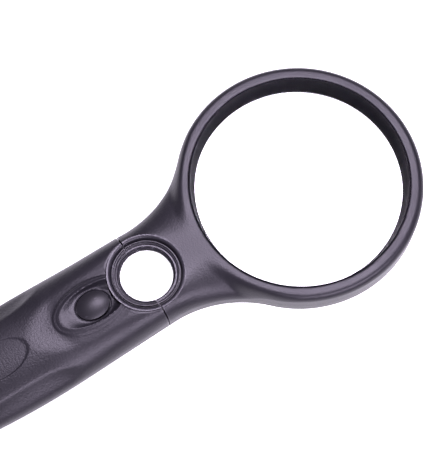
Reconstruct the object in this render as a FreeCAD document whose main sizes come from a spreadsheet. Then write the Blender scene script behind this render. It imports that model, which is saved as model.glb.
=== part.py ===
import FreeCAD, Part
import math
import os
import re

import Sketcher

# Hand-held low vision magnifier lying on its back: millimetres, +X from the handle's tail to the
# round head, +Z out of the front face, which carries the button. The origin is under the middle
# of the overall length and width, on the plane that the back rests on.

Vector = FreeCAD.Vector
doc = FreeCAD.newDocument("low_vision_magnifier")

SIZES = {
    # outline, seen from the front
    "tail_x": -95.5,
    "head_x": 52.0,
    "ring_radius": 43.5,
    "flare_x": -9.4,
    "flare_radius": 42.4,
    "taper_x": -56.0,
    "taper_radius": 300.0,
    "handle_half_width": 19.0,
    "corner_radius": 11.5,
    "tail_radius": 45.0,
    # heights above the rest plane, and walls
    "front_height": 17.5,
    "split_height": 7.0,
    "split_gap": 0.1,
    "front_wall": 2.0,
    "back_wall": 2.2,
    "floor_height": 2.0,
    "back_draft": 14.0,
    "seam_x": -12.5,
    "seam_gap": 0.4,
    # edge rounding, from the round head to the handle's tail
    "head_round": 2.4,
    "neck_round": 6.0,
    "tail_round": 9.5,
    "head_back_round": 2.0,
    "handle_back_round": 4.6,
    # main lens and the ring that holds it
    "main_bore": 38.95,
    "main_tube": 40.6,
    "main_lens_radius": 37.5,
    "main_lens_curve": 136.6,
    "main_lens_thickness": 12.0,
    "main_lens_height": 8.75,
    # small lens
    "small_x": -10.7,
    "small_hole": 13.65,
    "small_lens_radius": 11.0,
    "small_lens_curve": 28.0,
    "small_lens_thickness": 6.0,
    "small_lens_height": 11.55,
    # button recess
    "button_x": -31.9,
    "button_long": 5.95,
    "button_wide": 4.75,
    "button_fit": 0.3,
    "button_top": 17.7,
    "lip_x": -31.0,
    "lip_long": 13.45,
    "lip_wide": 6.55,
    "lip_height": 17.9,
    "foot_x": -32.4,
    "foot_long": 15.0,
    "foot_wide": 9.0,
    "foot_height": 16.4,
    "moat_x": -36.0,
    "moat_long": 22.0,
    "moat_wide": 11.6,
    "dish_height": 15.9,
    "well_height": 13.95,
    # battery bay
    "cell_radius": 5.1,
    "cell_length": 43.7,
    "cell_pitch": 10.35,
    "cell_tail_x": -85.7,
    "cell_height": 8.75,
    "bay_front_x": -40.6,
    "door_height": 3.5,
    "door_gap": 0.3,
    "tray_inset": 3.2,
    "tray_top": 15.2,
    # switch
    "board_height": 3.0,
    "board_thickness": 1.4,
    "switch_width": 7.0,
    "switch_top": 9.0,
    "plunger_width": 2.6,
    "plunger_foot": 6.9,
    "plunger_top": 12.0,
    "spring_foot": 5.2,
    # lamps
    "led_radius": 1.5,
    "led_pitch": 5.2,
    "led_height": 3.9,
    "led_board_x": 8.0,
    # screws
    "screw_radius": 1.0,
    "screw_head_radius": 1.9,
    "screw_head_height": 1.3,
    "boss_radius": 2.6,
    "neck_screw_x": 4.0,
    "neck_screw_y": 12.8,
    "head_screw_x": 10.5,
    "head_screw_y": 17.0,
    "handle_screw_x": -35.4,
    "handle_screw_y": 13.0,
    "tail_screw_x": -90.8,
    "tail_screw_foot": 4.8,
    "screw_length": 7.5,
    "wire_radius": 0.5,
}

sheet = doc.addObject("Spreadsheet::Sheet", "sizes")
for row, (alias, size) in enumerate(SIZES.items(), 1):
    sheet.set("A%d" % row, alias)
    sheet.set("B%d" % row, str(size))
    sheet.setAlias("B%d" % row, alias)
doc.recompute()

SIDES = (1, -1)
nodes = {}


def size(alias):
    return float(sheet.get(alias))


def formula(text):
    """Point every size named in a formula at its cell in the sheet."""
    def cell(match):
        word = match.group()
        return "sizes." + word if word in SIZES else word
    return re.sub(r"[a-z_]+[a-z_0-9]*", cell, str(text))


def bind(item, formulas):
    for prop, text in formulas.items():
        item.setExpression(prop, formula(text))
    return item


def place(item, x=0, y=0, z=0):
    return bind(item, {"Placement.Base.x": x, "Placement.Base.y": y, "Placement.Base.z": z})


def named(item, label):
    """Give a finished sub-part the name of its node."""
    item.Label = label
    nodes[label] = item
    return item


# Primitives and booleans -----------------------------------------------------------------------

def box(name, x, y, z):
    """A block between two formulas on each axis."""
    item = doc.addObject("Part::Box", name)
    bind(item, {"Length": "(%s) - (%s)" % (x[1], x[0]), "Width": "(%s) - (%s)" % (y[1], y[0]),
                "Height": "(%s) - (%s)" % (z[1], z[0])})
    return place(item, x[0], y[0], z[0])


def cylinder(name, radius, x, y, z):
    """An upright cylinder between two heights."""
    item = doc.addObject("Part::Cylinder", name)
    bind(item, {"Radius": radius, "Height": "(%s) - (%s)" % (z[1], z[0])})
    return place(item, x, y, z[0])


def rod(name, radius, x, y, z):
    """A cylinder along X between two places."""
    item = doc.addObject("Part::Cylinder", name)
    item.Placement.Rotation = FreeCAD.Rotation(Vector(0, 1, 0), 90)
    bind(item, {"Radius": radius, "Height": "(%s) - (%s)" % (x[1], x[0])})
    return place(item, x[0], y, z)


def ball(name, radius, x, y, z):
    item = doc.addObject("Part::Sphere", name)
    bind(item, {"Radius": radius})
    return place(item, x, y, z)


def ellipse(name, long_radius, wide_radius, x, z):
    item = doc.addObject("Part::Ellipse", name)
    bind(item, {"MajorRadius": long_radius, "MinorRadius": wide_radius})
    return place(item, x, 0, z)


def sloped(name, lower, upper):
    """A solid between two ellipses at different heights."""
    item = doc.addObject("Part::Loft", name)
    item.Sections = [lower, upper]
    item.Solid = True
    item.Ruled = True
    return item


def oval(name, long_radius, wide_radius, x, z):
    """An upright oval block between two heights."""
    lower = ellipse(name + "_lower", long_radius, wide_radius, x, z[0])
    upper = ellipse(name + "_upper", long_radius, wide_radius, x, z[1])
    return sloped(name, lower, upper)


def fuse(name, *items):
    item = doc.addObject("Part::MultiFuse", name)
    item.Shapes = list(items)
    item.Refine = True
    return item


def common(name, *items):
    item = doc.addObject("Part::MultiCommon", name)
    item.Shapes = list(items)
    return item


def cut(name, base, *tools):
    item = doc.addObject("Part::Cut", name)
    item.Base = base
    item.Tool = tools[0] if len(tools) == 1 else fuse(name + "_tools", *tools)
    return item


def revolved(name, x, outline):
    """A body turned about the upright line at x from an outline of (radius, height) formulas."""
    body = doc.addObject("PartDesign::Body", name)
    plane = next(item for item in body.Origin.OriginFeatures if item.Role == "XZ_Plane")
    sketch = body.newObject("Sketcher::SketchObject", name + "_outline")
    sketch.AttachmentSupport = [(plane, "")]
    sketch.MapMode = "FlatFace"
    doc.recompute()
    count = len(outline)
    start = [Vector(math.cos(math.tau * k / count), math.sin(math.tau * k / count), 0) for k in range(count)]
    for index in range(count):
        sketch.addGeometry(Part.LineSegment(start[index], start[(index + 1) % count]))
    for index in range(count):
        sketch.addConstraint(Sketcher.Constraint("Coincident", index, 2, (index + 1) % count, 1))
    for index, (radius, height) in enumerate(outline):
        fix_point(sketch, index, 1, start[index], radius, height)
    turn = body.newObject("PartDesign::Revolution", name + "_turn")
    turn.Profile = sketch
    turn.ReferenceAxis = (sketch, ["V_Axis"])
    turn.Angle = 360
    return place(body, x)


def fix_point(sketch, index, end, start, across, up):
    """Hold one point of a sketch's edge at two formulas."""
    for kind, text, at in (("DistanceX", across, start.x), ("DistanceY", up, start.y)):
        which = sketch.addConstraint(Sketcher.Constraint(kind, -1, 1, index, end, at))
        sketch.setExpression("Constraints[%d]" % which, formula(text))


# Outline of the whole magnifier, seen from the front ---------------------------------------------

def toward(start, target, distance):
    return start + (target - start).normalize() * distance


def crossing(first, first_radius, second, second_radius):
    """The upper meeting point of two circles."""
    line = second - first
    along = (first_radius ** 2 - second_radius ** 2 + line.Length ** 2) / (2 * line.Length)
    aside = math.sqrt(first_radius ** 2 - along ** 2)
    line.normalize()
    normal = Vector(-line.y, line.x, 0)
    return max((first + line * along + normal * side * aside for side in SIDES), key=lambda point: point.y)


def outline(name, inset):
    """Round head, flared neck, and a handle that tapers to a rounded tail, moved in by an inset."""
    step = size(inset) if inset in SIZES else float(inset)
    ring, ring_radius = Vector(size("head_x"), 0, 0), size("ring_radius") - step
    reach = size("ring_radius") + size("flare_radius")
    flare = Vector(size("flare_x"), math.sqrt(reach ** 2 - (size("head_x") - size("flare_x")) ** 2), 0)
    flare_radius = size("flare_radius") + step
    taper = Vector(size("taper_x"), size("handle_half_width") - size("taper_radius"), 0)
    taper_radius = size("taper_radius") - step
    tail, tail_radius = Vector(size("tail_x") + size("tail_radius"), 0, 0), size("tail_radius") - step
    corner_radius = size("corner_radius") - step
    corner = crossing(taper, taper_radius - corner_radius, tail, tail_radius - corner_radius)

    # the handle's side touches the flare from below and the taper arc from above
    lean = math.acos((flare_radius + taper_radius) / (taper - flare).Length)
    heading = math.atan2(taper.y - flare.y, taper.x - flare.x) + lean
    normal = Vector(math.cos(heading), math.sin(heading), 0)
    flare_end, side_end = flare + normal * flare_radius, taper - normal * taper_radius
    ring_end = toward(ring, flare, ring_radius)
    taper_end = toward(taper, corner, taper_radius)
    tail_end = toward(tail, corner, tail_radius)

    sketch = doc.addObject("Sketcher::SketchObject", name)

    def arc(centre, radius, start, end):
        """An arc that runs anticlockwise from start to end."""
        first, last = (math.atan2(point.y - centre.y, point.x - centre.x) for point in (start, end))
        circle = Part.Circle(centre, Vector(0, 0, 1), radius)
        return sketch.addGeometry(Part.ArcOfCircle(circle, first, last))

    def below(point):
        return Vector(point.x, -point.y, 0)

    # anticlockwise from the ring, along the upper side to the tail and back along the lower one
    ring_edge = arc(ring, ring_radius, below(ring_end), ring_end)
    upper_flare = arc(flare, flare_radius, flare_end, ring_end)
    upper_side = sketch.addGeometry(Part.LineSegment(flare_end, side_end))
    upper_taper = arc(taper, taper_radius, side_end, taper_end)
    upper_corner = arc(corner, corner_radius, taper_end, tail_end)
    tail_edge = arc(tail, tail_radius, tail_end, below(tail_end))
    lower_corner = arc(below(corner), corner_radius, below(tail_end), below(taper_end))
    lower_taper = arc(below(taper), taper_radius, below(taper_end), below(side_end))
    lower_side = sketch.addGeometry(Part.LineSegment(below(side_end), below(flare_end)))
    lower_flare = arc(below(flare), flare_radius, below(ring_end), below(flare_end))

    joints = ((ring_edge, 2, upper_flare, 2), (upper_flare, 1, upper_side, 1),
              (upper_side, 2, upper_taper, 1), (upper_taper, 2, upper_corner, 1),
              (upper_corner, 2, tail_edge, 1), (tail_edge, 2, lower_corner, 1),
              (lower_corner, 2, lower_taper, 1), (lower_taper, 2, lower_side, 1),
              (lower_side, 2, lower_flare, 2),
              (lower_flare, 1, ring_edge, 1))
    for joint in joints:
        sketch.addConstraint(Sketcher.Constraint("Tangent", *joint))

    def radius_of(edge, start, text):
        which = sketch.addConstraint(Sketcher.Constraint("Radius", edge, start))
        sketch.setExpression("Constraints[%d]" % which, formula(text))

    radius_of(ring_edge, ring_radius, "ring_radius - %s" % inset)
    radius_of(tail_edge, tail_radius, "tail_radius - %s" % inset)
    for edge in (upper_flare, lower_flare):
        radius_of(edge, flare_radius, "flare_radius + %s" % inset)
    for edge in (upper_taper, lower_taper):
        radius_of(edge, taper_radius, "taper_radius - %s" % inset)
    for edge in (upper_corner, lower_corner):
        radius_of(edge, corner_radius, "corner_radius - %s" % inset)
    centre = 3
    fix_point(sketch, ring_edge, centre, ring, "head_x", "0")
    fix_point(sketch, tail_edge, centre, tail, "tail_x + tail_radius", "0")
    fix_point(sketch, upper_taper, centre, taper, "taper_x", "handle_half_width - taper_radius")
    fix_point(sketch, lower_taper, centre, below(taper), "taper_x", "taper_radius - handle_half_width")
    return sketch


def block(name, sketch, bottom, top, draft=None):
    """The outline raised from bottom to top, or hung down from top with a draft."""
    item = doc.addObject("Part::Extrusion", name)
    item.Base = sketch
    item.DirMode = "Custom"
    item.Dir = Vector(0, 0, -1 if draft else 1)
    item.Solid = True
    bind(item, {"LengthFwd": "(%s) - (%s)" % (top, bottom)})
    if draft:
        bind(item, {"TaperAngle": "-%s" % draft})
    return place(item, 0, 0, top if draft else bottom)


def rounding(x, head, neck, tail):
    """Edge rounding at x: small round the head, growing along the neck and again along the handle."""
    marks = (("tail", -60.0, tail), ("neck", size("seam_x"), neck), ("head", 21.0, head))
    if x <= marks[0][1]:
        return tail
    for (_, low, start), (_, high, end) in zip(marks, marks[1:]):
        if x <= high:
            return start + (end - start) * (x - low) / (high - low)
    return head


def rounded(name, base, height, head, neck, tail):
    """The base with the edges at one height rounded by a radius that changes along X.

    A fillet counts an edge's two radii against the direction that the edge has in its face.
    """
    doc.recompute()
    rows = []
    for index, edge in enumerate(base.Shape.Edges, 1):
        if all(abs(corner.Z - height) < 1e-6 for corner in edge.Vertexes):
            ends = (edge.lastVertex(True), edge.firstVertex(True))
            first, last = (rounding(end.X, head, neck, tail) for end in ends)
            rows.append((index, first, last))
    item = doc.addObject("Part::Fillet", name)
    item.Base = base
    item.Edges = rows
    return item


# Housing -----------------------------------------------------------------------------------------

def screw_places():
    """Each screw's name, x and y."""
    places = [("tail_screw", "tail_screw_x", "0")]
    for name in ("neck", "head", "handle"):
        for tag, sign in (("left", ""), ("right", "-")):
            places.append(("%s_screw_%s" % (name, tag), name + "_screw_x", "%s%s_screw_y" % (sign, name)))
    return places


def bosses(name, bottom, top, group):
    """Round posts for the screws whose names start with one of a group."""
    posts = []
    for screw, x, y in screw_places():
        if screw.startswith(group):
            posts.append(cylinder("%s_%s" % (name, screw), "boss_radius", x, y, (bottom, top)))
    return posts


def screw_holes(name, radius, bottom, top, group):
    holes = []
    for screw, x, y in screw_places():
        if screw.startswith(group):
            holes.append(cylinder("%s_%s" % (name, screw), radius, x, y, (bottom, top)))
    return holes


def front_shell():
    """The front skin of head and handle in one piece, before the seam parts it."""
    edge = outline("front_outline", "0")
    inner_edge = outline("front_inner_outline", "front_wall")
    block_out = block("front_block", edge, "split_height", "front_height")
    form = rounded("front_form", block_out, size("front_height"), size("head_round"), size("neck_round"),
                   size("tail_round"))
    block_in = block("front_hollow_block", inner_edge, "split_height - 1", "front_height - front_wall")
    hollow = rounded("front_hollow", block_in, size("front_height") - size("front_wall"), 0.8,
                     size("neck_round") - 2, size("tail_round") - 2)
    tubes = (cylinder("front_main_tube", "main_tube", "head_x", "0", ("0", "front_height")),
             cylinder("front_small_tube", "small_hole", "small_x", "0", ("0", "front_height")))
    space = cut("front_space", hollow, *tubes)
    bores = (cylinder("front_main_bore", "main_bore", "head_x", "0", ("0", "front_height + 1")),
             cylinder("front_small_bore", "small_hole - 0.1", "small_x", "0", ("0", "front_height + 1")))
    skin = cut("front_skin", form, space, *bores)
    return fuse("front_shell", skin, small_bezel())


def small_bezel():
    """Stepped collar round the small lens, with the pocket that takes the lens from behind."""
    return revolved("small_bezel", "small_x", (
        ("9.4", "13.7"), ("9.95", "15.7"), ("10.2", "16.0"), ("10.5", "16.0"), ("10.55", "16.25"),
        ("10.85", "16.25"), ("10.9", "16.5"), ("11.2", "16.5"), ("11.25", "16.75"), ("11.55", "16.75"),
        ("11.65", "15.9"), ("11.95", "15.9"), ("12.3", "16.9"), ("12.65", "17.3"), ("13.15", "front_height"),
        ("small_hole", "front_height"), ("small_hole", "split_height"),
        ("small_lens_radius + 0.15", "split_height"), ("small_lens_radius + 0.15", "12.4"), ("9.4", "13.05")))


def back_shell():
    """The back skin of head and handle in one piece, before the seam parts it."""
    edge = outline("back_outline", "0")
    inner_edge = outline("back_inner_outline", "back_wall")
    block_out = block("back_block", edge, "0", "split_height - split_gap", "back_draft")
    form = rounded("back_form", block_out, 0.0, size("head_back_round"), size("handle_back_round"),
                   size("handle_back_round"))
    hollow = block("back_hollow", inner_edge, "floor_height", "split_height", "back_draft")
    tubes = (cylinder("back_main_tube", "main_bore + 0.85", "head_x", "0", ("0", "split_height")),
             cylinder("back_small_tube", "small_hole", "small_x", "0", ("0", "split_height")))
    space = cut("back_space", hollow, *tubes)
    bores = (cylinder("back_main_bore", "main_bore + 0.75", "head_x", "0", ("-1", "split_height + 1")),
             cylinder("back_small_bore", "small_hole - 0.1", "small_x", "0", ("-1", "split_height + 1")))
    skin = cut("back_skin", form, space, *bores)
    main_seat = revolved("main_seat", "head_x", (
        ("37.6", "0.6"), ("38.2", "0"), ("main_bore + 0.85", "0"),
        ("main_bore + 0.85", "split_height - split_gap"),
        ("main_bore - 0.15", "split_height - split_gap"), ("main_bore - 0.15", "9.6"),
        ("main_lens_radius + 0.15", "9.6"), ("main_lens_radius + 0.15", "7.95"), ("36.8", "7.95")))
    small_seat = revolved("small_seat", "small_x", (
        ("9.9", "4.5"), ("11.6", "0.5"), ("12.1", "0"), ("small_hole", "0"),
        ("small_hole", "split_height - split_gap"), ("9.9", "split_height - split_gap")))
    return fuse("back_shell", skin, main_seat, small_seat)


HEAD_SIDE = ("seam_x + seam_gap / 2", "100")
HANDLE_SIDE = ("-100", "seam_x - seam_gap / 2")
ALL_Y = ("-50", "50")
ALL_Z = ("-5", "25")


def half(name, shell, side):
    return common(name, shell, box(name + "_side", side, ALL_Y, ALL_Z))


def make_head_front_frame(shell):
    frame = half("head_front_half", shell, HEAD_SIDE)
    posts = bosses("front_post", "split_height + 1", "16", "head")
    holes = screw_holes("front_pilot", "screw_radius + 0.02", "0", "14", "head")
    named(cut("head_front_frame", fuse("head_front_with_posts", frame, *posts), *holes), "head_front_frame")


def make_head_rear_frame(shell):
    frame = half("head_rear_half", shell, HEAD_SIDE)
    posts = bosses("rear_post", "floor_height - 1", "split_height + 0.9", ("head", "neck"))
    sinks = screw_holes("rear_sink", "screw_head_radius + 0.2", "-1", "floor_height + 0.4", ("head", "neck"))
    holes = screw_holes("rear_hole", "screw_radius + 0.15", "-1", "12", ("head", "neck"))
    window = box("lamp_opening", ("11", "16"), ("-8.6", "8.6"), ("1.5", "5.7"))
    solid = fuse("head_rear_with_posts", frame, *posts)
    named(cut("head_rear_frame", solid, window, *sinks, *holes), "head_rear_frame")


def make_handle_front_cover(shell):
    """Front of the handle: a shallow moat, the almond lip inside it and the dish round the button."""
    cover = half("handle_front_half", shell, HANDLE_SIDE)
    well = common("button_well", oval("well_oval", "button_long + 2.6", "button_wide + 2.6", "button_x",
                                      ("well_height", "front_height")),
                  box("well_side", ("-60", "small_x - 9"), ALL_Y, ALL_Z))
    foot = ellipse("moat_foot", "foot_long", "foot_wide", "foot_x", "foot_height")
    brim = ellipse("moat_brim", "moat_long", "moat_wide", "moat_x", "front_height + 0.1")
    collar = cylinder("collar_keep", "small_hole", "small_x", "0", ("0", "25"))
    moat = cut("moat", sloped("moat_slope", foot, brim), collar)
    lip_foot = ellipse("lip_foot", "foot_long + 1.2", "foot_wide + 1.6", "foot_x", "foot_height - 1")
    lip_top = ellipse("lip_top", "lip_long", "lip_wide", "lip_x", "lip_height")
    lip = cut("lip", common("lip_cone", sloped("lip_slope", lip_foot, lip_top),
                            box("lip_side", ("-60", "seam_x"), ALL_Y, ("well_height", "25"))),
              cylinder("lip_keep", "small_hole - 0.1", "small_x", "0", ("0", "25")))
    dish_top = ellipse("dish_top", "lip_long - 0.2", "lip_wide - 0.3", "lip_x", "lip_height + 0.1")
    dish_foot = ellipse("dish_foot", "button_long + 1", "button_wide + 0.6", "button_x - 0.3", "dish_height")
    dish = cut("dish", sloped("dish_slope", dish_foot, dish_top), collar)
    hole = oval("button_hole", "button_long + button_fit", "button_wide + button_fit", "button_x",
                ("5", "25"))
    prongs = [prong("prong_" + tag, tag) for tag in ("left", "right")]
    posts = bosses("cover_post", "split_height + 0.2", "15.6", "handle")
    tail_post = bosses("cover_post", "split_height + 0.2", "13.2", "tail")
    with_moat = cut("cover_with_moat", fuse("cover_well", cover, well), moat)
    shaped = cut("cover_shaped", fuse("cover_with_lip", with_moat, lip), dish, hole)
    solid = fuse("cover_with_posts", shaped, *prongs, *posts, *tail_post)
    holes = screw_holes("cover_pilot", "screw_radius + 0.02", "0", "12.5", ("handle", "tail", "neck"))
    named(cut("handle_front_cover", solid, *holes), "handle_front_cover")


def prong(name, tag):
    """An arm from the handle's cover into the head's neck, with a block that takes a neck screw."""
    prong_z = ("8.2", "13.2")
    inner, outer = ("13.8", "15.4") if tag == "left" else ("-15.4", "-13.8")
    arm = box(name + "_arm", ("seam_x - 4", "neck_screw_x"), (inner, outer), prong_z)
    root_y = ("13", "16.4") if tag == "left" else ("-16.4", "-13")
    root = box(name + "_root", ("seam_x - 4.5", "seam_x - 0.5"), root_y, prong_z)
    near = "neck_screw_y - 2.4" if tag == "left" else "-15.4"
    far = "15.4" if tag == "left" else "2.4 - neck_screw_y"
    end = box(name + "_end", ("neck_screw_x - 2.4", "neck_screw_x + 2.4"), (near, far), prong_z)
    return fuse(name, root, arm, end)


def make_handle_back_shell(shell):
    back = half("handle_back_half", shell, HANDLE_SIDE)
    door_space = box("door_space", ("-100", "bay_front_x + door_gap"), ALL_Y,
                     ("-5", "door_height + door_gap / 2"))
    posts = bosses("back_post", "floor_height - 1", "split_height", "handle")
    tail_post = bosses("back_post", "door_height + door_gap / 2", "split_height", "tail")
    sinks = screw_holes("back_sink", "screw_head_radius + 0.2", "-1", "floor_height + 0.4", "handle")
    tail_sink = screw_holes("back_sink", "screw_head_radius + 0.2", "-1", "tail_screw_foot", "tail")
    holes = screw_holes("back_hole", "screw_radius + 0.15", "-1", "12", ("handle", "tail"))
    ribs = [box("board_rib_%d" % k, ("%s" % x, "%s + 1.2" % x), ("-9", "9"),
                ("floor_height - 0.5", "board_height"))
            for k, x in enumerate((-36.0, -28.0))]
    solid = fuse("back_with_posts", cut("back_open", back, door_space), *posts, *tail_post, *ribs)
    named(cut("handle_back_shell", solid, *sinks, *tail_sink, *holes), "handle_back_shell")


def make_battery_door(shell):
    """Sliding cover of the battery bay: it takes in the tail, and two tongues hold its front edge."""
    zone = box("door_zone", ("-100", "bay_front_x - door_gap"), ALL_Y, ("-5", "door_height - door_gap / 2"))
    panel = common("door_panel", shell, zone)
    tongues = [box("door_tongue_%d" % k, ("bay_front_x - 3.5", "bay_front_x + 2"), (y, "%s + 4" % y),
                   ("floor_height + 0.2", "door_height - door_gap / 2")) for k, y in enumerate(("5", "-9"))]
    roots = [box("door_root_%d" % k, ("bay_front_x - 3.5", "bay_front_x - 1"), (y, "%s + 4" % y),
                 ("floor_height - 0.5", "floor_height + 0.5")) for k, y in enumerate(("5", "-9"))]
    grips = [box("door_grip_%d" % k, ("bay_front_x - %s" % x, "bay_front_x - %s + 1" % x), ("-6", "6"),
                 ("-1", "0.5"))
             for k, x in enumerate((6, 8, 10, 12))]
    named(cut("battery_door", fuse("door_with_tongues", panel, *tongues, *roots), *grips), "battery_door")


# Lenses ------------------------------------------------------------------------------------------

def lens(name, radius, curve, thickness, x, height):
    """A lens with the same curve on both faces."""
    low = ball(name + "_low", curve, x, "0", "%s - %s / 2 + %s" % (height, thickness, curve))
    high = ball(name + "_high", curve, x, "0", "%s + %s / 2 - %s" % (height, thickness, curve))
    edge = cylinder(name + "_edge", radius, x, "0", ("0", "front_height"))
    return named(common(name, edge, low, high), name)


def make_lenses():
    lens("main_lens", "main_lens_radius", "main_lens_curve", "main_lens_thickness", "head_x",
         "main_lens_height")
    lens("small_lens", "small_lens_radius", "small_lens_curve", "small_lens_thickness", "small_x",
         "small_lens_height")
    named(revolved("lens_retaining_ring", "head_x", (
        ("36.7", "10.2"), ("36.75", "9.85"), ("38.2", "9.85"), ("38.75", "10.4"), ("38.75", "17.2"),
        ("38.6", "17.4"),
        ("38.3", "17.3"))), "lens_retaining_ring")
    named(revolved("small_lens_retainer", "small_x", (
        ("9.9", "split_height + 0.05"), ("11.05", "split_height + 0.05"), ("11.05", "10.7"), ("10.3", "10.4"),
        ("9.9", "10.2"))), "small_lens_retainer")


# Button and switch -------------------------------------------------------------------------------

def make_button():
    """Oval domed cap with a flange under the cover and a socket that grips the plunger."""
    column = oval("button_column", "button_long", "button_wide", "button_x", ("12.6", "25"))
    dome = doc.addObject("Part::Ellipsoid", "button_dome")
    bind(dome, {"Radius1": "4.6", "Radius2": "button_long * 1.5", "Radius3": "button_wide * 1.5"})
    place(dome, "button_x", "0", "button_top - 4.6")
    flange = oval("button_flange", "button_long + 0.9", "button_wide + 0.9", "button_x",
                  ("12.5", "well_height - 0.25"))
    stem = cylinder("button_stem", "2.6", "button_x", "0", ("switch_top + 1.5", "12.6"))
    socket = plunger_box("button_socket", "plunger_width / 2 + 0.02", ("switch_top", "plunger_top + 0.02"))
    cap = fuse("button_cap", common("button_crown", column, dome), flange, stem)
    named(cut("switch_button", cap, socket), "switch_button")


def plunger_box(name, reach, z):
    return box(name, ("button_x - (%s)" % reach, "button_x + %s" % reach), ("-(%s)" % reach, reach), z)


def make_switch():
    """Push switch on its board, with the plunger that the button presses and its return spring."""
    body = plunger_box("switch_can", "switch_width / 2", ("board_height + board_thickness", "switch_top"))
    bore = plunger_box("switch_bore", "plunger_width / 2 + 0.1", ("spring_foot", "switch_top + 1"))
    named(cut("switch_body", body, bore), "switch_body")
    named(plunger_box("switch_plunger", "plunger_width / 2", ("plunger_foot", "plunger_top")),
          "switch_plunger")
    coils = 3
    rings = []
    for k in range(coils):
        ring = doc.addObject("Part::Torus", "spring_ring_%d" % k)
        bind(ring, {"Radius1": "0.9", "Radius2": "0.28"})
        share = (k + 0.5) / coils
        height = "spring_foot + (plunger_foot - spring_foot) * %.4f" % share
        rings.append(place(ring, "button_x", "0", height))
    core = cylinder("spring_core", "0.75", "button_x", "0", ("spring_foot", "plunger_foot"))
    named(fuse("switch_spring", core, *rings), "switch_spring")
    board = box("board_plate", ("-37.8", "-25"), ("-9.4", "9.4"),
                ("board_height", "board_height + board_thickness"))
    named(cut("switch_board", board, box("board_notch", ("-30", "-24"), ("-1", "1"), ("0", "2"))),
          "switch_board")
    named(rod("resistor", "0.9", ("-29.2", "-26"), "-6", "board_height + board_thickness + 0.9"), "resistor")


# Batteries ---------------------------------------------------------------------------------------

CELLS = (("left", "cell_pitch"), ("centre", "0"), ("right", "-cell_pitch"))


def make_batteries():
    """Three cells side by side, their positive ends at the tail."""
    springs = []
    plates = []
    for tag, y in CELLS:
        can = rod("cell_can_" + tag, "cell_radius", ("cell_tail_x + 0.8", "cell_tail_x + cell_length"), y,
                  "cell_height")
        tip = rod("cell_tip_" + tag, "1.9", ("cell_tail_x", "cell_tail_x + 1"), y, "cell_height")
        named(fuse("battery_" + tag, can, tip), "battery_" + tag)
        plates.append(box("positive_plate_" + tag, ("cell_tail_x - 0.45", "cell_tail_x - 0.05"),
                          ("%s - 3.6" % y, "%s + 3.6" % y), ("cell_height - 3.5", "cell_height + 3.5")))
        springs.append(box("negative_plate_" + tag, ("-40.15", "-39.8"), ("%s - 3.6" % y, "%s + 3.6" % y),
                           ("cell_height - 3.5", "cell_height + 3.5")))
        for k, radius in enumerate((3.2, 2.7, 2.2)):
            coil = doc.addObject("Part::Torus", "coil_%s_%d" % (tag, k))
            coil.Placement.Rotation = FreeCAD.Rotation(Vector(0, 1, 0), 90)
            bind(coil, {"Radius1": radius, "Radius2": "0.38"})
            springs.append(place(coil, "-40.45 - %s" % (0.55 * k), y, "cell_height"))
    named(fuse("positive_contacts", *plates), "positive_contacts")
    named(fuse("negative_contacts", *springs), "negative_contacts")


def make_battery_tray():
    """Liner of the battery bay: two end walls that carry the contacts, under one thin roof."""
    edge = outline("tray_outline", "tray_inset")
    form = rounded("tray_form", block("tray_block", edge, "4.2", "tray_top"), size("tray_top"), 0.8,
                   size("neck_round") - 3, size("tail_round") - 3)
    slabs = (box("tray_front_wall", ("-39.75", "-39.05"), ALL_Y, ALL_Z),
             box("tray_tail_wall", ("cell_tail_x - 1.5", "cell_tail_x - 0.5"), ALL_Y, ALL_Z),
             box("tray_roof", ("cell_tail_x - 1.5", "-39.05"), ALL_Y, ("tray_top - 0.9", "tray_top")))
    relief = oval("tray_relief", "button_long + 3", "button_wide + 3", "button_x",
                  ("well_height - 0.6", "front_height"))
    named(cut("battery_tray", common("tray_shape", form, fuse("tray_slabs", *slabs)), relief), "battery_tray")


# Lamps -------------------------------------------------------------------------------------------

def make_lamps():
    board = box("lamp_board", ("led_board_x", "led_board_x + 1.2"), ("-8.4", "8.4"), ("2.2", "6.6"))
    named(board, "led_board")
    for tag, y in (("left", "led_pitch"), ("centre", "0"), ("right", "-led_pitch")):
        foot = rod("led_foot_" + tag, "led_radius + 0.25", ("led_board_x + 1.2", "led_board_x + 1.9"),
                   y, "led_height")
        stem = rod("led_stem_" + tag, "led_radius", ("led_board_x + 1.8", "led_board_x + 2.8"), y,
                   "led_height")
        dome = ball("led_dome_" + tag, "led_radius", "led_board_x + 2.8", y, "led_height")
        named(fuse("led_" + tag, foot, stem, dome), "led_" + tag)
    outer = cylinder("window_outer", "39.5", "head_x", "0", ("1.6", "5.6"))
    inner = cylinder("window_inner", "38.3", "head_x", "0", ("1", "6"))
    place_box = box("window_side", ("10", "18"), ("-8.45", "8.45"), ("1.6", "5.6"))
    named(common("led_window", cut("window_ring", outer, inner), place_box), "led_window")


def bent_wire(name, points, radius, bend):
    """A round wire along straight runs joined by tangent arcs."""
    edges = []
    last = points[0]
    for before, corner, after in zip(points, points[1:], points[2:]):
        turn = (corner - before).getAngle(after - corner)
        cut_back = bend * math.tan(turn / 2)
        start, end = toward(corner, before, cut_back), toward(corner, after, cut_back)
        to_middle = ((start - corner) + (end - corner)).normalize()
        middle = corner + to_middle * (bend / math.cos(turn / 2) - bend)
        edges.append(Part.LineSegment(last, start).toShape())
        edges.append(Part.Arc(start, middle, end).toShape())
        last = end
    edges.append(Part.LineSegment(last, points[-1]).toShape())
    path = Part.Wire(edges)
    ring = Part.Wire(Part.makeCircle(radius, points[0], points[1] - points[0]))
    item = doc.addObject("Part::Feature", name)
    item.Shape = path.makePipeShell([ring], True, False)
    return named(item, name)


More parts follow.
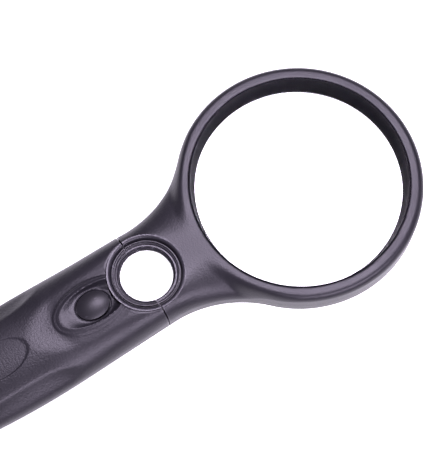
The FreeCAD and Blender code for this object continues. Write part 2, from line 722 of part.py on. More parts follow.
def make_wires():
    """Two leads from the switch board, past the small lens, to the lamp board."""
    height = size("board_height") + size("board_thickness") + size("wire_radius") + 0.7
    for name, side in (("wire_red", 1), ("wire_black", -1)):
        route = ((-27.0, 8.4), (-20.5, 14.25), (-3.5, 14.25), (1.4, 9.2), (7.6, 6.0))
        points = [Vector(x, side * y, height) for x, y in route]
        bent_wire(name, points, size("wire_radius"), 3.0)


# Screws ------------------------------------------------------------------------------------------

def make_screws():
    """Seven identical pan-head screws, driven from the back."""
    screws = []
    for name, x, y in screw_places():
        foot = "tail_screw_foot" if name.startswith("tail") else "floor_height + 0.4"
        head = cylinder(name + "_head", "screw_head_radius", x, y, ("%s - screw_head_height" % foot, foot))
        shank = cylinder(name + "_shank", "screw_radius", x, y,
                         ("%s - 0.1" % foot, "%s + screw_length" % foot))
        slot = box(name + "_slot", ("%s - 1.3" % x, "%s + 1.3" % x), ("%s - 0.2" % y, "%s + 0.2" % y),
                   ("%s - screw_head_height - 1" % foot, "%s - screw_head_height + 0.5" % foot))
        cross = box(name + "_cross", ("%s - 0.2" % x, "%s + 0.2" % x), ("%s - 1.3" % y, "%s + 1.3" % y),
                    ("%s - screw_head_height - 1" % foot, "%s - screw_head_height + 0.5" % foot))
        screws.append(cut(name, fuse(name + "_solid", head, shank), slot, cross))
    group = doc.addObject("Part::Compound", "housing_screws")
    group.Links = screws
    named(group, "housing_screws")


# Build, check and write --------------------------------------------------------------------------

def check():
    doc.recompute()
    for item in doc.Objects:
        if {"Invalid", "Error"} & set(item.State):
            raise RuntimeError("%s failed: %s" % (item.Name, item.State))
    for label, item in nodes.items():
        if item.Shape.isNull() or not item.Shape.isValid() or item.Shape.Volume <= 0:
            raise RuntimeError("%s has no valid solid" % label)


front = front_shell()
back = back_shell()
make_head_front_frame(front)
make_head_rear_frame(back)
make_handle_front_cover(front)
make_handle_back_shell(back)
make_battery_door(back)
make_lenses()
make_button()
make_switch()
make_batteries()
make_battery_tray()
make_lamps()
make_wires()
make_screws()
check()

os.makedirs("parts", exist_ok=True)
for label, item in nodes.items():
    item.Shape.exportStep(os.path.join("parts", label + ".step"))
    print("%-22s %3d solids %10.1f mm3" % (label, len(item.Shape.Solids), item.Shape.Volume))
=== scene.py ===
import math

import bmesh
import bpy
import numpy as np
from mathutils import Matrix, Vector


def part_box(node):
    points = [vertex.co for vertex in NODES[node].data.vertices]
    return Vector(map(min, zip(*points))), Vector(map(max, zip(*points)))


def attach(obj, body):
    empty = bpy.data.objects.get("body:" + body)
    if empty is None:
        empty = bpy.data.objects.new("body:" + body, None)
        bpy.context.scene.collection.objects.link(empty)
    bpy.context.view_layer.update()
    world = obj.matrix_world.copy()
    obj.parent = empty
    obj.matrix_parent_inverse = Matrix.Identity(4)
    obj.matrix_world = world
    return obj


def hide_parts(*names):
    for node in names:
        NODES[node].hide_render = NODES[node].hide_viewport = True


# A black hand-held magnifier on a white table, button side up. The frame is the CAD's: +X from the
# handle's tail to the round head, +Z out of the front face. Lengths are metres, except in the parts
# that say they are millimetres.

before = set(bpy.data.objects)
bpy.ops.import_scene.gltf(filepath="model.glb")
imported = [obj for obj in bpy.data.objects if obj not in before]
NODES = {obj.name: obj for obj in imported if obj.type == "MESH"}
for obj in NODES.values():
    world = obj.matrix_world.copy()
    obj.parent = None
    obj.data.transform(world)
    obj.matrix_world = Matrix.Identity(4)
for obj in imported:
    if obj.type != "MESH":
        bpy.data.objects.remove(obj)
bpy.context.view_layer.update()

MM = 0.001

# Camera: how far round, above and away from the magnifier it stands, and what it looks at. The focal
# length and the sensor are millimetres.
CAMERA_AZIMUTH = math.radians(-32.2)
CAMERA_ELEVATION = math.radians(72.03)
CAMERA_DISTANCE = 0.510
CAMERA_TARGET = Vector((0.02004, 0.00071, 0.0175))
FOCAL_LENGTH, SENSOR_SIZE = 118.2, 36.0

# Lights: the direction each one stands in, its distance, its height and width, and its watts.
OVERHEAD_BOX = ((0.22, 0.19, 0.95), 0.55, (0.24, 0.26), 4.3)
NEAR_BOX = ((0.03, -0.72, 0.69), 0.9, (0.12, 0.8), 8.4)
LIGHT_TINT = (1.0, 0.88, 1.14)
SURROUND_TINT, SURROUND_STRENGTH = (0.96, 0.95, 1.0, 1.0), 0.08

# Floor: half its width, and the strength of its own glow.
FLOOR_HALF, FLOOR_GLOW = 3.0, 0.86


# Shader helpers ----------------------------------------------------------------------------------

def new_material(name):
    """A material with an empty tree apart from its Principled shader."""
    material = bpy.data.materials.new(name)
    material.use_nodes = True
    tree = material.node_tree
    tree.nodes.clear()
    output = tree.nodes.new("ShaderNodeOutputMaterial")
    shader = tree.nodes.new("ShaderNodeBsdfPrincipled")
    tree.links.new(shader.outputs["BSDF"], output.inputs["Surface"])
    return material, tree, shader


def add(tree, kind, **settings):
    """A shader node with its properties and unlinked inputs set by name."""
    node = tree.nodes.new(kind)
    for name, value in settings.items():
        if hasattr(node, name):
            setattr(node, name, value)
        else:
            node.inputs[name.replace("_", " ").title()].default_value = value
    return node


def noise(tree, scale, detail=2.0, roughness=0.5):
    """Noise in object space, so that it stays fixed to the piece."""
    coords = tree.nodes.new("ShaderNodeTexCoord")
    texture = add(tree, "ShaderNodeTexNoise", scale=scale, detail=detail, roughness=roughness)
    tree.links.new(coords.outputs["Object"], texture.inputs["Vector"])
    return texture.outputs["Fac"]


def ramp(tree, source, low, high, start=0.3, end=0.7):
    """A number or colour between low and high, as the source goes from start to end."""
    is_colour = isinstance(low, tuple)
    if is_colour:
        node = tree.nodes.new("ShaderNodeValToRGB")
        for element, place, colour in zip(node.color_ramp.elements, (start, end), (low, high)):
            element.position = place
            element.color = (*colour, 1.0)
        tree.links.new(source, node.inputs["Fac"])
        return node.outputs["Color"]
    node = tree.nodes.new("ShaderNodeMapRange")
    for name, value in (("From Min", start), ("From Max", end), ("To Min", low), ("To Max", high)):
        node.inputs[name].default_value = value
    tree.links.new(source, node.inputs["Value"])
    return node.outputs["Result"]


def bump(tree, shader, layers):
    """Bump from (height, depth in metres) pairs, the finest last."""
    normal = None
    for height, depth in layers:
        node = tree.nodes.new("ShaderNodeBump")
        node.inputs["Strength"].default_value = 1.0
        node.inputs["Distance"].default_value = depth
        tree.links.new(height, node.inputs["Height"])
        if normal:
            tree.links.new(normal, node.inputs["Normal"])
        normal = node.outputs["Normal"]
    tree.links.new(normal, shader.inputs["Normal"])


def blend(tree, share, low, high, kind="FLOAT"):
    """Low and high mixed by a share; each may be a value or another node's output."""
    node = tree.nodes.new("ShaderNodeMix")
    node.data_type = kind
    node.clamp_factor = True
    inputs = [socket for socket in node.inputs if socket.enabled and socket.name in "AB"]
    factor = next(socket for socket in node.inputs if socket.enabled and socket.name == "Factor")
    tree.links.new(share, factor)
    for socket, value in zip(inputs, (low, high)):
        if isinstance(value, bpy.types.NodeSocket):
            tree.links.new(value, socket)
        else:
            socket.default_value = value
    return next(socket for socket in node.outputs if socket.enabled)


# Materials ---------------------------------------------------------------------------------------

# How rubbed plastic differs: its colour is scaled and lifted, as wear and as a painted highlight along
# crests, and its roughness is scaled.
RUBBED_HIGHLIGHT_SCALE, RUBBED_HIGHLIGHT_LIFT, RUBBED_GLOSS = 1.6, 0.012, 0.75
CLOUD_SCALE, FLOW_SCALE, FLOW_DEPTH = 60.0, 220.0, 0.00001


def edge_wear_and_highlight(tree):
    """Nothing on flat places, growing to one along sharp outer edges, where wear and a painted highlight go.
    """
    geometry = tree.nodes.new("ShaderNodeNewGeometry")
    return ramp(tree, geometry.outputs["Pointiness"], 0.0, 1.0, 0.515, 0.58)


def moulded_plastic(name, dark, light, rough_low, rough_high, grain=0.0007, grain_depth=0.00009,
                    specular=0.5):
    """Moulded plastic: spark-eroded grain, faint flow marks, uneven gloss, and edges rubbed shinier and
    painted lighter, partly as wear and partly as a painted highlight.
    """
    material, tree, shader = new_material(name)
    cloud = noise(tree, CLOUD_SCALE, detail=3.0)
    grain_height = noise(tree, 1.0 / grain, detail=2.5, roughness=0.65)
    flow = noise(tree, FLOW_SCALE, detail=2.0)
    worn_and_highlit = edge_wear_and_highlight(tree)
    # sharp edges get a lighter colour: partly rubbed wear, partly a painted highlight on crests such as the
    # lip's
    rubbed_and_highlit = tuple(min(1.0, RUBBED_HIGHLIGHT_SCALE * value + RUBBED_HIGHLIGHT_LIFT) for value in light)
    colour = blend(tree, worn_and_highlit, ramp(tree, cloud, dark, light), (*rubbed_and_highlit, 1.0), kind="RGBA")
    gloss = blend(tree, worn_and_highlit, ramp(tree, cloud, rough_low, rough_high), RUBBED_GLOSS * rough_low)
    tree.links.new(colour, shader.inputs["Base Color"])
    tree.links.new(gloss, shader.inputs["Roughness"])
    shader.inputs["Specular IOR Level"].default_value = specular
    bump(tree, shader, ((flow, FLOW_DEPTH), (grain_height, grain_depth)))
    return material


def clear_plastic(name, ior=1.49, tint=(1.0, 1.0, 1.0), rough=0.0, haze=0.006):
    """Polished clear moulding: faint uneven polish and a little haze."""
    material, tree, shader = new_material(name)
    shader.inputs["Base Color"].default_value = (*tint, 1.0)
    shader.inputs["Transmission Weight"].default_value = 1.0
    shader.inputs["IOR"].default_value = ior
    polish = noise(tree, scale=40.0)
    tree.links.new(ramp(tree, polish, rough, rough + haze), shader.inputs["Roughness"])
    return material


def plated_metal(name, dark, light, rough_low=0.18, rough_high=0.35):
    """Plated metal: bright, a little uneven, with fine scratches."""
    material, tree, shader = new_material(name)
    scratch_depth = 0.000004
    cloud = noise(tree, scale=400.0, detail=3.0)
    tree.links.new(ramp(tree, cloud, dark, light), shader.inputs["Base Color"])
    tree.links.new(ramp(tree, cloud, rough_low, rough_high), shader.inputs["Roughness"])
    shader.inputs["Metallic"].default_value = 1.0
    bump(tree, shader, ((noise(tree, scale=3000.0), scratch_depth),))
    return material


def circuit_board(name):
    """Green solder mask with faint copper tracks under it."""
    track_height = 0.00003
    material, tree, shader = new_material(name)
    coords = tree.nodes.new("ShaderNodeTexCoord")
    tracks = add(tree, "ShaderNodeTexBrick", scale=260.0)
    tracks.inputs["Color1"].default_value = (0.01, 0.075, 0.03, 1)
    tracks.inputs["Color2"].default_value = (0.012, 0.09, 0.036, 1)
    tracks.inputs["Mortar"].default_value = (0.03, 0.15, 0.06, 1)
    tree.links.new(coords.outputs["Object"], tracks.inputs["Vector"])
    tree.links.new(tracks.outputs["Color"], shader.inputs["Base Color"])
    tree.links.new(ramp(tree, noise(tree, scale=500.0), 0.25, 0.4), shader.inputs["Roughness"])
    bump(tree, shader, ((tracks.outputs["Fac"], track_height),))
    return material


def cell_sleeve(name, body, band, split):
    """Printed battery sleeve: two plain colours that meet at a place along X, on a satin film."""
    meeting, film_depth = 0.0002, 0.00001
    material, tree, shader = new_material(name)
    coords = tree.nodes.new("ShaderNodeTexCoord")
    axes = tree.nodes.new("ShaderNodeSeparateXYZ")
    tree.links.new(coords.outputs["Object"], axes.inputs["Vector"])
    colour = ramp(tree, axes.outputs["X"], band, body, split, split + meeting)
    tree.links.new(colour, shader.inputs["Base Color"])
    cloud = noise(tree, scale=300.0)
    tree.links.new(ramp(tree, cloud, 0.22, 0.34), shader.inputs["Roughness"])
    shader.inputs["Metallic"].default_value = 0.35
    bump(tree, shader, ((cloud, film_depth),))
    return material


def paint(material, *names):
    """Give CAD nodes a material in place of their own."""
    for name in names:
        mesh = NODES[name].data
        mesh.materials.clear()
        mesh.materials.append(material)


def finish_materials():
    """Give every CAD node its finish; the housing's is handed back for the front skins."""
    housing = moulded_plastic("housing_black", (0.012, 0.0115, 0.0145), (0.016, 0.015, 0.019), 0.36, 0.43,
                              specular=0.34)
    # the ring's black is darker than the housing's, as painted shade on the bore's inner wall
    ring = moulded_plastic("ring_black_shaded", (0.0024, 0.0024, 0.0034), (0.004, 0.004, 0.0054), 0.5, 0.58,
                           specular=0.02)
    button = moulded_plastic("button_black", (0.014, 0.0135, 0.016), (0.018, 0.0175, 0.02), 0.34, 0.42,
                             grain=0.0003, grain_depth=0.000006, specular=0.28)
    paint(housing, "head_front_frame", "head_rear_frame", "handle_front_cover", "handle_back_shell",
          "battery_door")
    paint(ring, "lens_retaining_ring", "small_lens_retainer")
    paint(button, "switch_button")
    finish_clear_pieces()
    finish_circuit()
    finish_metal_pieces()
    finish_battery_bay()
    return housing


def finish_clear_pieces():
    paint(clear_plastic("lens_acrylic"), "main_lens", "small_lens")
    paint(clear_plastic("window_clear", rough=0.03), "led_window")
    paint(clear_plastic("lamp_epoxy", ior=1.53, rough=0.02), "led_left", "led_centre", "led_right")


def finish_circuit():
    paint(moulded_plastic("switch_black", (0.02, 0.02, 0.022), (0.03, 0.03, 0.033), 0.3, 0.4), "switch_body")
    paint(moulded_plastic("plunger_white", (0.7, 0.69, 0.64), (0.76, 0.75, 0.7), 0.3, 0.4), "switch_plunger")
    paint(moulded_plastic("resistor_tan", (0.5, 0.36, 0.22), (0.58, 0.44, 0.28), 0.4, 0.5), "resistor")
    paint(circuit_board("board_green"), "switch_board", "led_board")
    paint(moulded_plastic("wire_red_pvc", (0.5, 0.012, 0.012), (0.58, 0.02, 0.02), 0.3, 0.42), "wire_red")
    paint(moulded_plastic("wire_black_pvc", (0.02, 0.02, 0.02), (0.03, 0.03, 0.03), 0.3, 0.42), "wire_black")


def finish_metal_pieces():
    paint(plated_metal("contact_nickel", (0.62, 0.61, 0.58), (0.72, 0.71, 0.68)), "positive_contacts",
          "negative_contacts", "switch_spring")
    paint(plated_metal("screw_zinc", (0.45, 0.45, 0.46), (0.58, 0.58, 0.6), 0.28, 0.42), "housing_screws")


def finish_battery_bay():
    """Grey tray, and cells whose band covers a share of their length."""
    band_share = 0.3
    paint(moulded_plastic("tray_grey", (0.05, 0.05, 0.054), (0.065, 0.065, 0.07), 0.45, 0.55), "battery_tray")
    cell_low, cell_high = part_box("battery_centre")
    split = cell_low.x + band_share * (cell_high.x - cell_low.x)
    paint(cell_sleeve("cell_sleeve", (0.02, 0.03, 0.06), (0.6, 0.32, 0.06), split), "battery_left",
          "battery_centre", "battery_right")


# Sizes of the front skins ------------------------------------------------------------------------
# The front of the head and of the handle is one skin each, worked as heights over the outline. The
# head's skin carries the ring and the sloping neck. The handle's is crowned, and carries the blank
# panel, the moat, the lip, the dish and the button's hole. From here to the stage, sizes are
# millimetres. Sizes read from the frame are rounded to a tenth, since round nodes have facets, but the
# handle's own tail and side are kept as they are, so that the skin stays within the CAD's box.

def middle_x(node):
    """Where a node's middle is along X."""
    low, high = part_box(node)
    return round((low.x + high.x) / 2 / MM, 1)


cover_low, cover_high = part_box("handle_front_cover")
TAIL_X, HALF_WIDTH = cover_low.x / MM, cover_high.y / MM
FRONT_FOOT, CREST = round(cover_low.z / MM, 1), round(cover_high.z / MM, 1)
head_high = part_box("head_front_frame")[1]
RING_RADIUS, FRONT = round(head_high.y / MM, 1), round(head_high.z / MM, 1)
RING_X = middle_x("main_lens")
LAND_RADIUS, BORE_RADIUS, TUBE_RADIUS = 41.1, 38.95, 40.6
HANDLE_SEAM, HEAD_SEAM = -12.75, -12.25

# outline: the flare beside the neck, the taper towards the tail, and the tail's end
FLARE_X, FLARE_RADIUS = -9.4, 42.4
TAPER_X, TAPER_RADIUS = -56.0, 300.0
TAIL_RADIUS, CORNER_RADIUS = 45.0, 11.5

# circle as (middle along X, radius), and ovals as (middle along X, half length, half width)
COLLAR = (middle_x("small_lens"), 13.6)
HOLE = (middle_x("switch_button"), 6.25, 5.05)
LIP = (-31.0, 13.45, 6.55)
LIP_FOOT = (-32.4, 15.0, 9.0)
MOAT = (-36.0, 22.0, 11.6)
DISH_FOOT = (-32.2, 7.0, 5.5)
PANEL = (-68.5, 11.0, 6.5)

# turned parts as (radius, height): the stepped collar, the head's tongue that fills the seam across
# the collar, and the tube under the ring's land
COLLAR_OUTLINE = ((9.15, 13.6), (9.35, 14.0), (9.85, 14.2), (9.95, 14.9), (10.1, 15.0), (10.55, 15.05),
                  (10.65, 15.75), (10.8, 15.85), (11.25, 15.9), (11.35, 16.5), (11.45, 16.6), (11.6, 16.6),
                  (11.7, 15.7), (11.95, 15.7), (12.3, 16.9), (12.65, 17.3), (13.15, 17.5), (13.65, 17.5),
                  (13.65, 7.1), (11.15, 7.1), (11.15, 12.4), (9.15, 13.0))
TONGUE_OUTLINE = ((9.25, 13.5), (10.1, 15.2), (13.5, 15.2), (13.5, 7.2), (11.2, 7.2), (11.2, 12.5),
                  (9.25, 13.07))
TUBE_OUTLINE = ((BORE_RADIUS, 17.3), (40.0, 17.2), (TUBE_RADIUS, 15.0), (TUBE_RADIUS, 7.1),
                (BORE_RADIUS, 7.1))
TONGUE_GAP = 0.02

# lap behind the seam as (inset from the side wall, height), and how far it reaches past each side
LAP_OUTLINE = ((0.5, FRONT_FOOT + 0.1), (0.5, 9.8), (1.5, 11.4), (1.5, FRONT_FOOT + 0.1))
LAP_REACH = 1.2

# the ring's fall at its outer edge, and the neck's rounded flanks: their width and fall at places
# along X, and how they fade out beside the ring's land
RING_FALL = 2.5
FLANK_OVERLAP, FLANK_RUN = 0.3, 4.6
NECK_PLACES = (-12.5, -2.0, 5.0, 12.0, 18.0, 25.0, 31.0, 38.0)
NECK_WIDTHS = (7.0, 10.0, 15.0, 17.5, 16.5, 9.5, 4.0, 2.4)
NECK_FALLS = (7.0, 6.9, 7.0, 7.0, 6.2, 4.4, 3.0, 2.5)

# the handle's crown: its rounding near the seam, and the full crown it turns into
SIDE_PLACES, SIDE_RADII = (-60.0, -30.0, -12.5), (9.5, 8.5, 7.0)
CROWN_POWER, CROWN_REACH, CROWN_RUN, CROWN_SIDE_TOP = 2.15, 19.0, 34.0, 8.0

# finger scoops: the crease above them at distances from the origin towards the tail
SCOOP_PLACES = (44, 48.8, 52.9, 57.4, 61.7, 80, 92)
SCOOP_CREASE = (15.6, 14.3, 12.9, 12.2, 12.0, 12.2, 15.5)
SCOOP_START, SCOOP_END, SCOOP_RUN, SCOOP_DEPTH, SCOOP_NARROWEST = -44.0, -92.0, 8.0, 0.85, 0.5

# panel, moat, lip and dish
PANEL_DEPTH, PANEL_EDGE = 0.25, 0.6
MOAT_SHALLOW, MOAT_DEEP, MOAT_TURN, MOAT_RUN = 0.2, 0.6, -41.0, 6.0
LIP_HEIGHT = CREST
LIP_SHARES = (0, 0.06, 0.42, 0.55, 0.62, 0.7, 0.88, 1.0)
LIP_FALLS = (0, 0.01, 0.5, 0.54, 0.56, 0.64, 0.97, 1.0)
DISH_START, DISH_DROP, DISH_SLOPE, DISH_LOWEST = -44.0, 0.1, 0.15, 15.2
DISH_RIM_SHARE, DISH_RIM_POWER = 0.97, 2.2

# skin: its thickness, how its places run in from each side, its side walls and its rounded end
SKIN, THINNEST = 1.6, 1.0
SHOULDER_RUN, SHOULDER_STEPS, SHOULDER_FULL_AT = 9.5, 27, 10.0
WALL_SHARES, WALL_INSETS = (1.0, 0.965, 0.5), (0.12, 0.0, 0.0)
END_SPAN = 12.0
CUTTER_TOP = 25.0


# Outline and heights -----------------------------------------------------------------------------

def easing_steps(length, count):
    """Distances from zero to a length, close together at first and wider towards the end."""
    return length * (1 - np.cos(np.linspace(0, math.pi / 2, count)))


class Outline:
    """Half-width against x: tail arc, corner, taper, straight side, flared neck and round head."""

    def __init__(self):
        ring = np.array((RING_X, 0.0))
        taper = np.array((TAPER_X, HALF_WIDTH - TAPER_RADIUS))
        tail = np.array((TAIL_X + TAIL_RADIUS, 0.0))
        reach = RING_RADIUS + FLARE_RADIUS
        flare = np.array((FLARE_X, math.sqrt(reach ** 2 - (RING_X - FLARE_X) ** 2)))
        gap = taper - flare
        lean = math.acos((FLARE_RADIUS + TAPER_RADIUS) / np.hypot(*gap))
        heading = math.atan2(gap[1], gap[0]) + lean
        normal = np.array((math.cos(heading), math.sin(heading)))
        corner = self.meeting(taper, TAPER_RADIUS - CORNER_RADIUS, tail, TAIL_RADIUS - CORNER_RADIUS)
        self.ring_end = ring + (flare - ring) / reach * RING_RADIUS
        self.flare_end = flare + normal * FLARE_RADIUS
        self.side_end = taper - normal * TAPER_RADIUS
        self.taper_end = taper + (corner - taper) / np.hypot(*(corner - taper)) * TAPER_RADIUS
        self.tail_end = tail + (corner - tail) / np.hypot(*(corner - tail)) * TAIL_RADIUS
        self.arcs = {"ring": (ring, RING_RADIUS), "flare": (flare, FLARE_RADIUS),
                     "taper": (taper, TAPER_RADIUS), "corner": (corner, CORNER_RADIUS),
                     "tail": (tail, TAIL_RADIUS)}
        self.tail_x, self.head_x = TAIL_X, RING_X + RING_RADIUS
        self.edge = self.edge_points()

    @staticmethod
    def meeting(first, first_radius, second, second_radius):
        """The upper meeting point of two circles."""
        line = second - first
        length = np.hypot(*line)
        along = (first_radius ** 2 - second_radius ** 2 + length ** 2) / (2 * length)
        aside = math.sqrt(first_radius ** 2 - along ** 2)
        line = line / length
        across = np.array((-line[1], line[0]))
        return max((first + line * along + across * aside * side for side in (1, -1)),
                   key=lambda point: point[1])

    def half_width(self, x):
        """The outline's half-width at places along X."""
        def arc(name, sign=1):
            centre, radius = self.arcs[name]
            return centre[1] + sign * np.sqrt(np.maximum(radius ** 2 - (x - centre[0]) ** 2, 0))

        run = (x - self.side_end[0]) / (self.flare_end[0] - self.side_end[0])
        side = self.side_end[1] + run * (self.flare_end[1] - self.side_end[1])
        ends = (self.ring_end, self.flare_end, self.side_end, self.taper_end, self.tail_end)
        return np.select([x > end[0] for end in ends],
                         [arc("ring"), arc("flare", -1), side, arc("taper"), arc("corner")], arc("tail"))

    def edge_points(self, span=14.0, end_count=300, middle_count=1300):
        """Points along the upper half, closer together towards both round ends."""
        ends = easing_steps(span, end_count)
        middle = np.linspace(self.tail_x + span, self.head_x - span, middle_count)[1:-1]
        xs = np.concatenate((self.tail_x + ends, middle, (self.head_x - ends)[::-1]))
        return np.stack((xs, self.half_width(xs)), axis=1)

    def depth(self, x, y, batch=4000, reach=30.0):
        """Distance from the outline, inwards. No place is farther than the reach from the outline."""
        points = np.stack((x.ravel(), np.abs(y).ravel()), axis=1)
        depth = np.empty(len(points))
        for part in range(0, len(points), batch):
            block = points[part:part + batch]
            keep = np.abs(self.edge[:, 0] - block[:, 0].mean()) < np.ptp(block[:, 0]) / 2 + reach
            edge = self.edge[keep]
            gaps = (block[:, :1] - edge[:, 0]) ** 2 + (block[:, 1:] - edge[:, 1]) ** 2
            near = np.argmin(gaps, axis=1)
            best = np.full(len(block), np.inf)
            for step in (-1, 0):
                index = np.clip(near + step, 0, len(edge) - 2)
                start, line = edge[index], edge[index + 1] - edge[index]
                share = ((block - start) * line).sum(axis=1) / (line ** 2).sum(axis=1)
                foot = start + np.clip(share, 0, 1)[:, None] * line
                best = np.minimum(best, np.hypot(*(block - foot).T))
            depth[part:part + batch] = best
        return depth.reshape(x.shape)


def smooth(value):
    value = np.clip(value, 0, 1)
    return value * value * (3 - 2 * value)


def mix(low, high, share):
    return low + (high - low) * share


def share_of(gap, other_gap):
    """How far a place is from one oval towards another, from its gaps to both."""
    return np.clip(gap / np.maximum(gap - other_gap, 0.01), 0, 1)


def beyond(oval, x, y):
    """About how far a place lies outside an oval; negative inside."""
    centre, long, wide = oval
    across, up = (x - centre) / long, y / wide
    reach = np.maximum(np.hypot(across, up), 1e-6)
    steep = np.maximum(np.hypot(across / long, up / wide) / reach, 1e-6)
    return (reach - 1) / steep


def shoulder_drop(depth, width, fall):
    """How far a rounded shoulder of a given width and fall has dropped at a distance from the edge."""
    inset = np.clip(1 - depth / width, 0, 1)
    return fall * (1 - np.sqrt(1 - inset ** 2))


def rolled_edge(gap, width, fall):
    """How far a slightly rolled edge has dropped at a gap from a hole."""
    return fall * np.clip(1 - gap / width, 0, 1) ** 2


def head_height(x, y, depth):
    """Ring with a tight shoulder, and a neck whose flanks slope away beside the ring."""
    out = np.hypot(x - RING_X, y)
    width = np.interp(x, NECK_PLACES, NECK_WIDTHS)
    fall = np.interp(x, NECK_PLACES, NECK_FALLS)
    ring = shoulder_drop(depth, RING_RADIUS - LAND_RADIUS, RING_FALL)
    neck = shoulder_drop(depth, width, fall) * smooth((out - LAND_RADIUS + FLANK_OVERLAP) / FLANK_RUN)
    return FRONT - np.maximum(ring, neck) - rolled_edge(out - BORE_RADIUS, width=0.3, fall=0.2)


def crowned(x, y, depth):
    """The handle's plain front: flush with the neck at the seam, fully crowned towards the tail."""
    radius = np.interp(x, SIDE_PLACES, SIDE_RADII)
    flat = FRONT - shoulder_drop(depth, radius, radius)
    share = np.clip(1 - depth / CROWN_REACH, 0, 1)
    crown = (1 - share ** CROWN_POWER) ** (1 / CROWN_POWER)
    round_top = CROWN_SIDE_TOP + (CREST - CROWN_SIDE_TOP) * crown
    height = mix(flat, round_top, smooth((HANDLE_SEAM - x) / CROWN_RUN))
    # finger scoops along both sides, with a crease above them
    crease = np.interp(-x, SCOOP_PLACES, SCOOP_CREASE)
    edge = np.abs(y) + depth
    share = np.clip((np.abs(y) - crease) / np.maximum(edge - crease, SCOOP_NARROWEST), 0, 1)
    window = smooth((SCOOP_START - x) / SCOOP_RUN) * smooth((x - SCOOP_END) / SCOOP_RUN)
    return height - SCOOP_DEPTH * window * np.sin(math.pi * share)


def handle_height(x, y, depth):
    """The handle's front with the blank panel, moat, lip and dish worked into the crowned form."""
    plain = crowned(x, y, depth)
    plain = plain - PANEL_DEPTH * smooth(-beyond(PANEL, x, y) / PANEL_EDGE)
    outside_foot = beyond(LIP_FOOT, x, y)
    outside_moat = beyond(MOAT, x, y)
    outside_lip = beyond(LIP, x, y)
    outside_dish = beyond(DISH_FOOT, x, y)
    foot = plain - mix(MOAT_SHALLOW, MOAT_DEEP, smooth((MOAT_TURN - x) / MOAT_RUN))
    rise = smooth(share_of(outside_foot, outside_moat))
    height = np.where(outside_moat > 0, plain, mix(foot, plain, rise))
    # lip: a narrow rounded crest, a gentle face, and a steep step down to its foot
    fall = np.interp(share_of(outside_lip, outside_foot), LIP_SHARES, LIP_FALLS)
    height = np.where(outside_foot < 0, LIP_HEIGHT + (foot - LIP_HEIGHT) * fall, height)
    # dish: a floor that falls towards the collar, with a rim that turns up to the lip's crest
    bottom = np.clip(LIP_HEIGHT - DISH_DROP - DISH_SLOPE * (x - DISH_START), DISH_LOWEST, LIP_HEIGHT)
    share = share_of(outside_dish, outside_lip)
    dish = mix(bottom, LIP_HEIGHT, np.clip(share / DISH_RIM_SHARE, 0, 1) ** DISH_RIM_POWER)
    height = np.where(outside_lip < 0, np.where(outside_dish > 0, dish, bottom), height)
    # rolled edges at the button's hole and beside the collar
    outside_collar = np.hypot(x - COLLAR[0], y) - COLLAR[1]
    height = height - rolled_edge(beyond(HOLE, x, y), width=0.5, fall=0.35)
    return height - rolled_edge(outside_collar, width=0.7, fall=0.3)


# Mesh helpers ------------------------------------------------------------------------------------

def place(name, data):
    """A new object in the scene."""
    thing = bpy.data.objects.new(name, data)
    bpy.context.scene.collection.objects.link(thing)
    return thing


def grid_faces(rows, columns, start=0, flip=False):
    """Faces over a grid of points whose first point has a given index."""
    faces = []
    for row in range(rows - 1):
        for column in range(columns - 1):
            a = start + row * columns + column
            face = (a, a + 1, a + columns + 1, a + columns)
            faces.append(face[::-1] if flip else face)
    return faces


def clean_up(mesh):
    """Weld doubled points, drop empty faces and turn every face outwards."""
    form = bmesh.new()
    form.from_mesh(mesh)
    bmesh.ops.remove_doubles(form, verts=form.verts, dist=2e-6)
    bmesh.ops.dissolve_degenerate(form, edges=form.edges, dist=1e-6)
    bmesh.ops.recalc_face_normals(form, faces=form.faces)
    if form.calc_volume(signed=True) < 0:
        bmesh.ops.reverse_faces(form, faces=form.faces)
    form.to_mesh(mesh)
    form.free()


def oval_cutter(name, oval, bottom=0.0, steps=192):
    """An upright oval prism, from a height to well above the front."""
    centre, long, wide = oval
    angles = np.linspace(0, math.tau, steps, endpoint=False)
    ring = [((centre + long * math.cos(a)) * MM, wide * math.sin(a) * MM) for a in angles]
    points = [(x, y, height * MM) for height in (bottom, CUTTER_TOP) for x, y in ring]
    faces = [tuple(range(steps - 1, -1, -1)), tuple(range(steps, 2 * steps))]
    for k in range(steps):
        after = (k + 1) % steps
        faces.append((k, after, after + steps, k + steps))
    mesh = bpy.data.meshes.new(name)
    mesh.from_pydata(points, [], faces)
    return place(name, mesh)


def cut_through(piece, cutter):
    """Cut with a helper shape, keep the result as the piece's own mesh, and drop the helper."""
    modifier = piece.modifiers.new("cut", "BOOLEAN")
    modifier.object = cutter
    modifier.solver = "EXACT"
    bpy.context.view_layer.update()
    result = bpy.data.meshes.new_from_object(piece.evaluated_get(bpy.context.evaluated_depsgraph_get()))
    piece.modifiers.remove(modifier)
    piece.data = result
    helper = cutter.data
    bpy.data.objects.remove(cutter)
    bpy.data.meshes.remove(helper)


def join_form(piece, added):
    """Join a closed mesh in the making to a piece."""
    bmesh.ops.recalc_face_normals(added, faces=added.faces)
    extra = bpy.data.meshes.new("added_part")
    added.to_mesh(extra)
    added.free()
    form = bmesh.new()
    form.from_mesh(piece.data)
    form.from_mesh(extra)
    form.to_mesh(piece.data)
    form.free()
    bpy.data.meshes.remove(extra)


